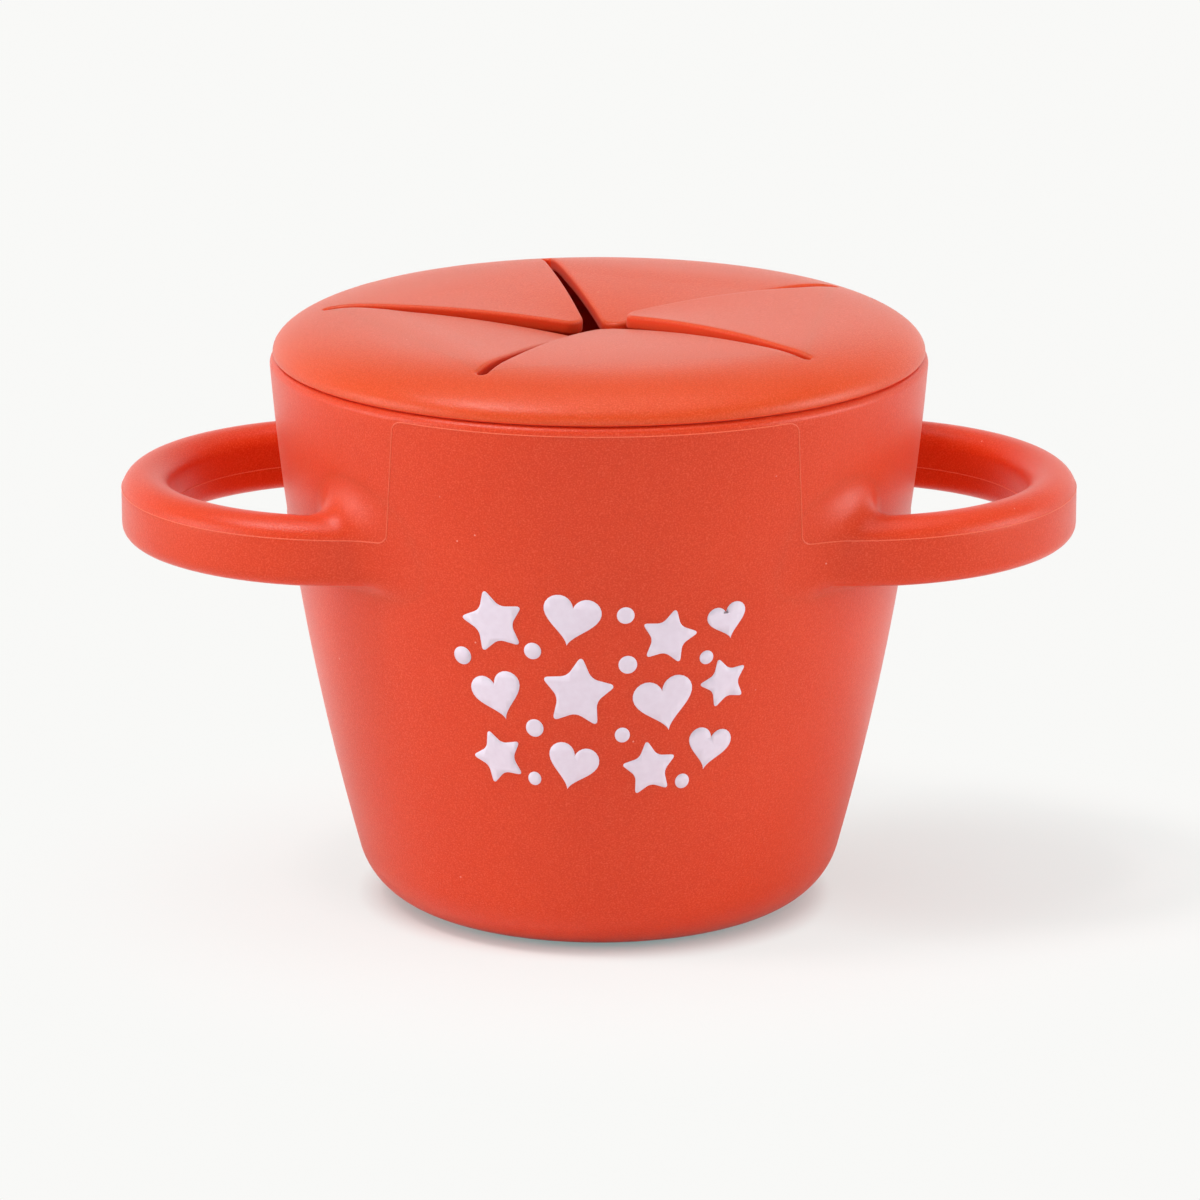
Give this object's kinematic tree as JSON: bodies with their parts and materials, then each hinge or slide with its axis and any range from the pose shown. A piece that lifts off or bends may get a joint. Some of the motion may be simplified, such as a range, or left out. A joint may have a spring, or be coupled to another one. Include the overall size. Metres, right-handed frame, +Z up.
{
  "type": "toddler snack cup",
  "caption": "Soft silicone snack cup with two loop handles and a push-in lid whose slit flaps let a small hand reach in.",
  "frame": {"origin": "centre of the foot, on the plane that the cup stands on", "axes": "+Z up along the cup's axis, +X towards the right-hand handle as seen from the printed front, +Y away from the printed front"},
  "size_m": [0.1338, 0.0918, 0.0847],
  "materials": {
    "cup_silicone": "matte",
    "lid_silicone": "matte"
  },
  "bodies": {
    "cup": {"cup_shell": "cup_silicone", "handle_left": "cup_silicone", "handle_right": "cup_silicone"},
    "lid": {"lid_ring": "lid_silicone"},
    "flap_1_body": {"flap_1": "lid_silicone"},
    "flap_2_body": {"flap_2": "lid_silicone"},
    "flap_3_body": {"flap_3": "lid_silicone"},
    "flap_4_body": {"flap_4": "lid_silicone"},
    "flap_5_body": {"flap_5": "lid_silicone"}
  },
  "joints": [
    {"name": "lid_lift", "type": "slide", "parent": "cup", "child": "lid", "axis": [0, 0, 1], "range_m": [0, 0.04]},
    {"name": "flap_1_bend", "type": "hinge", "parent": "lid", "child": "flap_1_body", "pos_m": [0.0127, 0.028, 0.08292], "axis": [-0.9107, 0.4131, 0], "range_deg": [-60, 35], "stiffness_Nm_per_rad": 0.02},
    {"name": "flap_2_bend", "type": "hinge", "parent": "lid", "child": "flap_2_body", "pos_m": [-0.0227, 0.02073, 0.08292], "axis": [-0.6743, -0.7385, 0], "range_deg": [-60, 35], "stiffness_Nm_per_rad": 0.02},
    {"name": "flap_3_bend", "type": "hinge", "parent": "lid", "child": "flap_3_body", "pos_m": [-0.02673, -0.01519, 0.08292], "axis": [0.4939, -0.8695, 0], "range_deg": [-60, 35], "stiffness_Nm_per_rad": 0.02},
    {"name": "flap_4_bend", "type": "hinge", "parent": "lid", "child": "flap_4_body", "pos_m": [0.00618, -0.03011, 0.08292], "axis": [0.9796, 0.2011, 0], "range_deg": [-60, 35], "stiffness_Nm_per_rad": 0.02},
    {"name": "flap_5_bend", "type": "hinge", "parent": "lid", "child": "flap_5_body", "pos_m": [0.03055, -0.00343, 0.08292], "axis": [0.1115, 0.9938, 0], "range_deg": [-60, 35], "stiffness_Nm_per_rad": 0.02}
  ]
}
